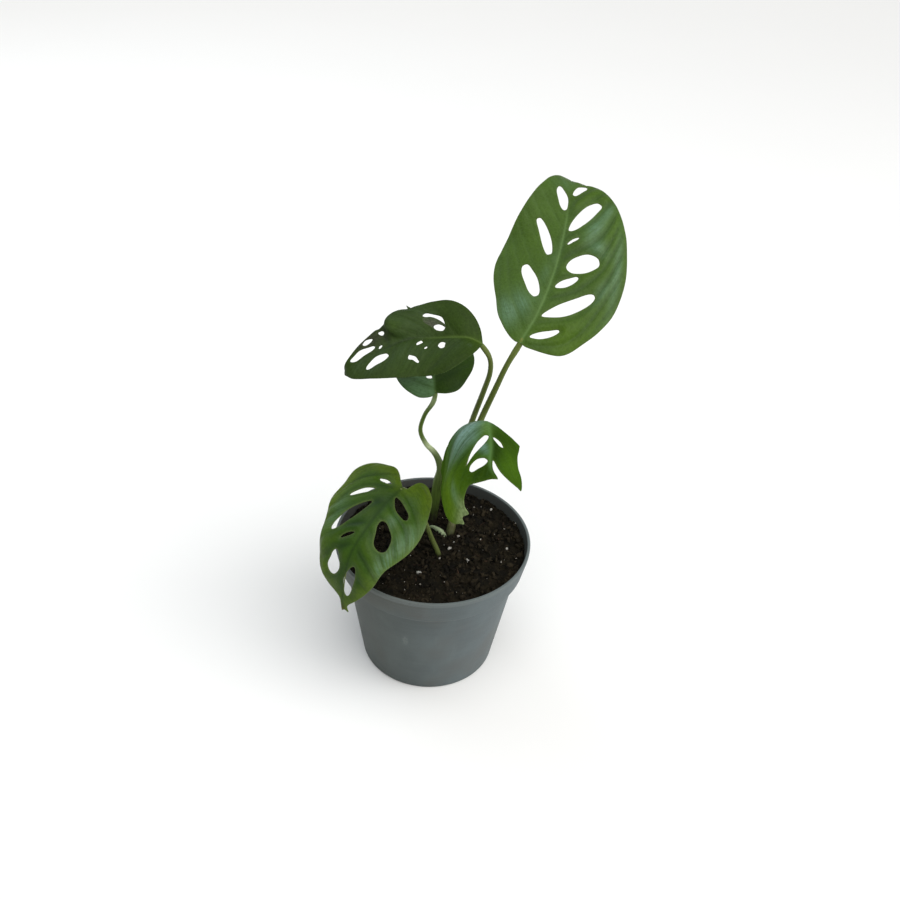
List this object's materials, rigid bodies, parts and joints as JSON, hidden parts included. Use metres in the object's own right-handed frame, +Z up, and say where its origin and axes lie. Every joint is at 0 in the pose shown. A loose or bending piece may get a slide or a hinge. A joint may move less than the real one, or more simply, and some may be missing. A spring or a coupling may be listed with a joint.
{
  "type": "monstera adansonii",
  "caption": "Young swiss cheese vine in a round tapered nursery pot: oval leaves with long holes arch on slim petioles from a short stem in dark soil.",
  "frame": {"origin": "on the pot's axis at the middle of its flat base", "axes": "+Z up along the pot's axis, -Y towards the viewer, +X to the viewer's right"},
  "size_m": [0.1655, 0.2035, 0.2789],
  "materials": {
    "pot": "satin moulded plastic, grey-green",
    "soil": "matte, damp peat with white perlite",
    "leaf_a": "satin mid-green leaf",
    "leaf_b": "satin dark green leaf",
    "leaf_c": "satin dark green leaf",
    "leaf_d": "glossy mid-green leaf",
    "leaf_e": "satin mid-green leaf",
    "stem": "satin green stem",
    "aerial_root": "matte pale root"
  },
  "bodies": {
    "root": {"pot": "pot", "soil": "soil", "leaf_a": "leaf_a", "leaf_b": "leaf_b", "leaf_c": "leaf_c", "leaf_d": "leaf_d", "leaf_e": "leaf_e", "stem": "stem", "aerial_root": "aerial_root"}
  },
  "joints": []
}
